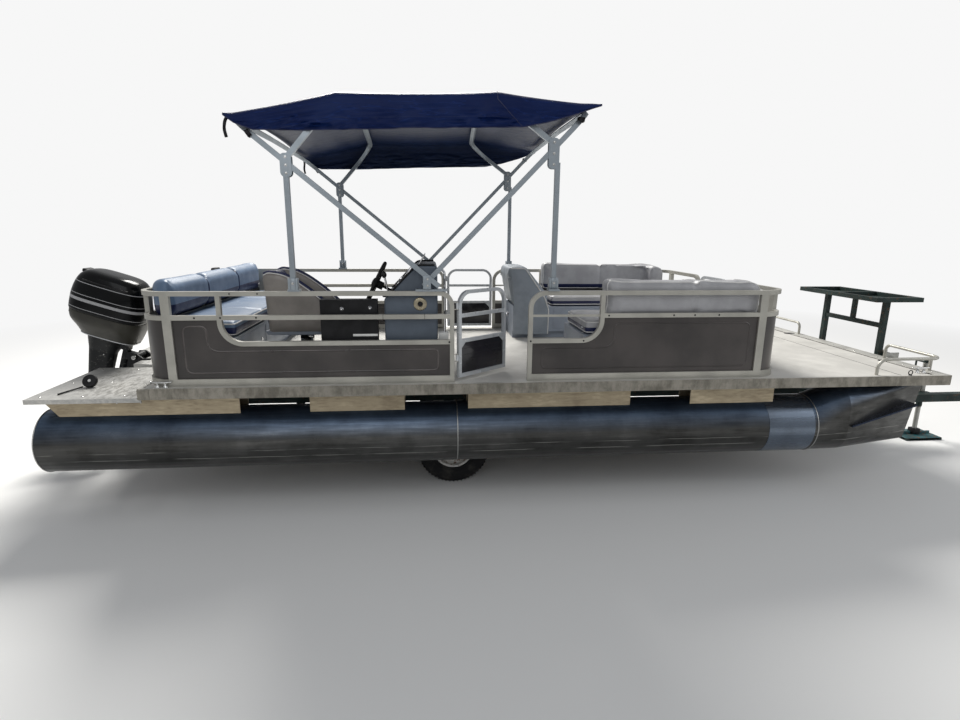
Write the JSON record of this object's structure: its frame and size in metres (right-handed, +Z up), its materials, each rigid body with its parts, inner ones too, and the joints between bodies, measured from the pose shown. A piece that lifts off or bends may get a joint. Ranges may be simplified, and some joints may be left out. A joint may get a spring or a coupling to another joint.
{
  "type": "pontoon boat on a trailer",
  "caption": "Pontoon boat with bronze fence panels, navy canopy, lounges, helm and tilted outboard motor, parked on a green centre lift trailer with a bow stand.",
  "frame": {"origin": "on the ground under the middle of the whole outfit's length and width", "axes": "+X points to the bow and the trailer's coupler, +Y to port, +Z up"},
  "size_m": [9.4175, 2.44, 3.0598],
  "materials": {
    "tube_aluminium": "bare brushed aluminium, scuffed",
    "trim_grey": "weathered aluminium edge section",
    "rail_cream": "cream anodised rails",
    "panel_bronze": "smoky bronze sheet, half gloss",
    "deck_light": "light grey deck covering",
    "canvas_navy": "navy acrylic canvas",
    "vinyl_white": "white marine vinyl with navy bands",
    "vinyl_beige": "beige grey marine vinyl with navy piping",
    "base_grey": "moulded grey bases",
    "box_black": "black moulded box",
    "motor_black": "black gloss paint with silver lines",
    "leg_dark": "dark grey green paint",
    "engine_grey": "bare engine block",
    "steel_dark": "dark painted bracket",
    "bright_steel": "bright steel",
    "trailer_green": "dark green paint, chalky",
    "zinc": "zinc plated steel",
    "tyre_black": "black tyre",
    "rim_white": "white painted steel wheel",
    "lamp_red": "red lamp lens",
    "bunk_carpet": "carpeted board",
    "grip_black": "black moulded grip"
  },
  "bodies": {
    "boat": {"pontoon_port": "tube_aluminium", "pontoon_starboard": "tube_aluminium", "nose_fins": "canvas_navy", "risers": "tube_aluminium", "cross_members": "tube_aluminium", "deck_board": "deck_light", "deck_trim": "trim_grey", "motor_pod": "tube_aluminium", "stern_platforms": "tube_aluminium", "fence_port_aft": "rail_cream", "fence_starboard_aft": "rail_cream", "fence_port_forward": "rail_cream", "fence_starboard_forward": "rail_cream", "fence_panels_port": "panel_bronze", "fence_panels_starboard": "panel_bronze", "gate_hinges": "rail_cream", "bimini_rear_main_bow": "rail_cream", "bimini_front_main_bow": "rail_cream", "bimini_inner_bows": "rail_cream", "bimini_posts": "rail_cream", "bimini_fittings": "rail_cream", "canopy": "canvas_navy", "stern_lounge_base": "base_grey", "stern_lounge_cushions": "vinyl_white", "port_lounge_base": "base_grey", "port_lounge_cushions": "vinyl_white", "starboard_lounge_base": "base_grey", "starboard_lounge_cushions": "vinyl_white", "chair_pedestal": "bright_steel", "console": "base_grey", "storage_box": "box_black", "bow_rails": "rail_cream", "cleats": "bright_steel", "clamp_bracket": "steel_dark", "trailer_frame": "trailer_green", "tail_lamps": "lamp_red", "axle": "trailer_green", "fenders": "trailer_green", "lift_frame": "trailer_green", "bunks": "bunk_carpet", "lift_arms": "trailer_green", "jack": "trailer_green", "coupler": "zinc", "safety_chains": "zinc", "bow_stand": "trailer_green", "winch": "zinc"},
    "gate_starboard": {"gate_starboard": "rail_cream"},
    "gate_port": {"gate_port": "rail_cream"},
    "gate_bow": {"gate_bow": "rail_cream"},
    "helm_chair": {"helm_chair": "vinyl_beige"},
    "steering_wheel": {"steering_wheel": "grip_black"},
    "swivel": {"swivel_bracket": "steel_dark"},
    "outboard": {"drive_leg": "leg_dark", "cowl": "motor_black", "powerhead": "engine_grey"},
    "propeller": {"propeller": "steel_dark"},
    "wheel_port": {"tyre_port": "tyre_black", "rim_port": "rim_white"},
    "wheel_starboard": {"tyre_starboard": "tyre_black", "rim_starboard": "rim_white"}
  },
  "joints": [
    {"name": "gate_starboard_hinge", "type": "hinge", "parent": "boat", "child": "gate_starboard", "pos_m": [-1.1353, -1.15, 1.39], "axis": [0, 0, 1], "range_deg": [-40, 50]},
    {"name": "gate_port_hinge", "type": "hinge", "parent": "boat", "child": "gate_port", "pos_m": [-1.1353, 1.15, 1.39], "axis": [0, 0, -1], "range_deg": [0, 90]},
    {"name": "gate_bow_hinge", "type": "hinge", "parent": "boat", "child": "gate_bow", "pos_m": [1.3667, -0.262, 1.39], "axis": [0, 0, 1], "range_deg": [0, 90]},
    {"name": "helm_chair_swivel", "type": "hinge", "parent": "boat", "child": "helm_chair", "pos_m": [-2.2933, -0.66, 1.3], "axis": [0, 0, 1], "continuous": true},
    {"name": "steering", "type": "hinge", "parent": "boat", "child": "steering_wheel", "pos_m": [-1.7333, -0.8, 1.71], "axis": [-0.8988, 0, 0.4384], "range_deg": [-720, 720]},
    {"name": "motor_tilt", "type": "hinge", "parent": "boat", "child": "swivel", "pos_m": [-3.9033, 0, 1], "axis": [0, 1, 0], "range_deg": [-22, 46]},
    {"name": "motor_steer", "type": "hinge", "parent": "swivel", "child": "outboard", "pos_m": [-4.0079, 0, 1.034], "axis": [0.309, 0, 0.9511], "range_deg": [-30, 30]},
    {"name": "propeller_spin", "type": "hinge", "parent": "outboard", "child": "propeller", "pos_m": [-4.6299, 0, 0.4496], "axis": [0.9511, 0, -0.309], "continuous": true},
    {"name": "wheel_port_spin", "type": "hinge", "parent": "boat", "child": "wheel_port", "pos_m": [-1.1433, 0.6, 0.3], "axis": [0, 1, 0], "continuous": true},
    {"name": "wheel_starboard_spin", "type": "hinge", "parent": "boat", "child": "wheel_starboard", "pos_m": [-1.1433, -0.6, 0.3], "axis": [0, 1, 0], "continuous": true}
  ]
}
